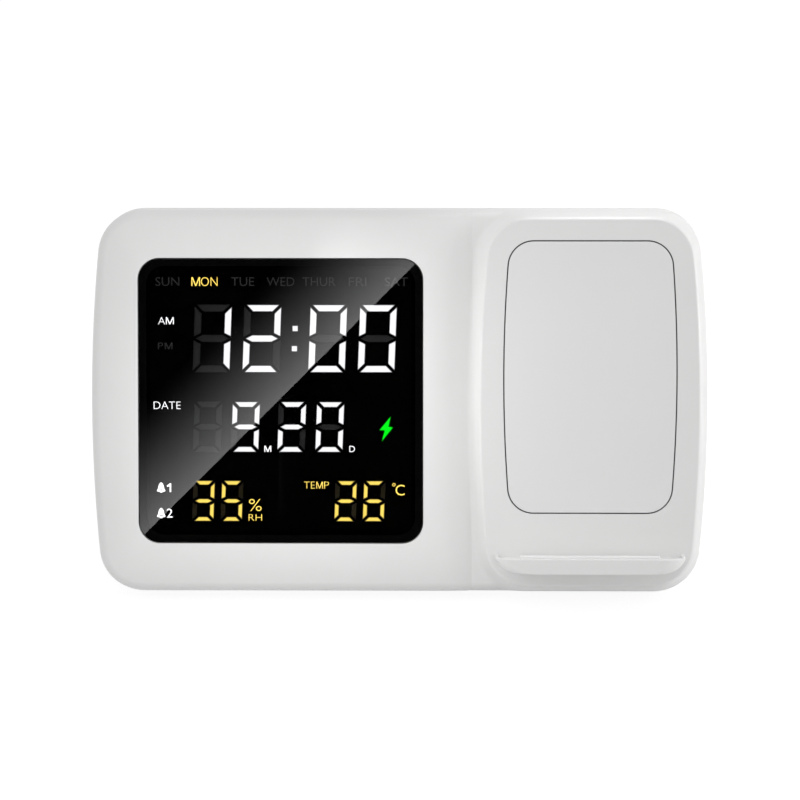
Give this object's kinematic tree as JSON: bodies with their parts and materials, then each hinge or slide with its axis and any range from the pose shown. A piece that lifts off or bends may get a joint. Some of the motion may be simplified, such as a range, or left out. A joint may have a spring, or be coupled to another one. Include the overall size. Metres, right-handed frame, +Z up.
{
  "type": "wireless charger digital clock",
  "caption": "Leaning bedside clock with a square LED display and a raised wireless charging face with a phone ledge; buttons, power inlet and cell door at the back.",
  "frame": {"origin": "middle of the footprint's bounding box, on the table plane under the feet", "axes": "+Z up, the display face looks to -Y and leans back, +X to the right as seen from the front"},
  "size_m": [0.19, 0.0718, 0.1165],
  "materials": {
    "shell_white": "satin white moulded plastic",
    "panel_white": "fine satin white plate",
    "window_smoke": "polished smoked acrylic",
    "reflector_black": "matt black",
    "segment_white": "milky diffuser resin",
    "segment_amber": "amber diffuser resin",
    "board_green": "solder resist",
    "chip_cream": "ceramic and resin",
    "chip_black": "black moulding compound",
    "coil_copper": "enamelled copper",
    "ferrite_grey": "sintered ferrite",
    "screw_steel": "plated steel",
    "inlet_steel": "stainless steel",
    "contact_brass": "gilt spring brass",
    "cushion_grey": "pale silicone rubber",
    "foot_rubber": "dark rubber",
    "button_grey": "satin pale grey plastic",
    "cable_grey": "flat ribbon sheath",
    "cable_red": "flat twin wire sheath"
  },
  "bodies": {
    "base": {"front_shell": "shell_white", "rear_shell": "shell_white", "display_window": "window_smoke", "window_tape": "reflector_black", "segment_reflector": "reflector_black", "time_digits": "segment_white", "date_digits": "segment_white", "humidity_digits": "segment_amber", "temperature_digits": "segment_amber", "led_board": "board_green", "led_chips": "chip_cream", "display_screws": "screw_steel", "charging_panel": "panel_white", "charging_coil": "coil_copper", "ferrite_sheet": "ferrite_grey", "coil_leads": "coil_copper", "charger_board": "board_green", "charger_parts": "chip_black", "charger_screws": "screw_steel", "phone_ledge": "shell_white", "ledge_strip": "cushion_grey", "ledge_screws": "screw_steel", "main_board": "board_green", "main_board_parts": "chip_black", "tact_switches": "chip_black", "usb_c_shell": "inlet_steel", "usb_c_tongue": "chip_black", "buzzer": "chip_black", "climate_sensor": "chip_cream", "board_screws": "screw_steel", "cell_contacts": "contact_brass", "backup_cell": "inlet_steel", "shell_screws": "screw_steel", "rubber_feet": "foot_rubber", "display_cable": "cable_grey", "charger_cable": "cable_red"},
    "push_set": {"button_set": "button_grey", "plunger_set": "chip_black"},
    "push_up": {"button_up": "button_grey", "plunger_up": "chip_black"},
    "push_down": {"button_down": "button_grey", "plunger_down": "chip_black"},
    "push_alarm": {"button_alarm": "button_grey", "plunger_alarm": "chip_black"},
    "push_light": {"button_light": "button_grey", "plunger_light": "chip_black"},
    "cell_cover": {"battery_door": "shell_white"}
  },
  "joints": [
    {"name": "press_set", "type": "slide", "parent": "base", "child": "push_set", "axis": [0, -1, 0], "range_m": [0, 0.0006], "stiffness_N_per_m": 1500, "springref_m": -0.0002},
    {"name": "press_up", "type": "slide", "parent": "base", "child": "push_up", "axis": [0, -1, 0], "range_m": [0, 0.0006], "stiffness_N_per_m": 1500, "springref_m": -0.0002},
    {"name": "press_down", "type": "slide", "parent": "base", "child": "push_down", "axis": [0, -1, 0], "range_m": [0, 0.0006], "stiffness_N_per_m": 1500, "springref_m": -0.0002},
    {"name": "press_alarm", "type": "slide", "parent": "base", "child": "push_alarm", "axis": [0, -1, 0], "range_m": [0, 0.0006], "stiffness_N_per_m": 1500, "springref_m": -0.0002},
    {"name": "press_light", "type": "slide", "parent": "base", "child": "push_light", "axis": [0, -1, 0], "range_m": [0, 0.0006], "stiffness_N_per_m": 1500, "springref_m": -0.0002},
    {"name": "door_turn", "type": "hinge", "parent": "base", "child": "cell_cover", "pos_m": [-0.062, 0.03489, 0.034], "axis": [0, 1, 0], "range_deg": [0, 60]}
  ]
}
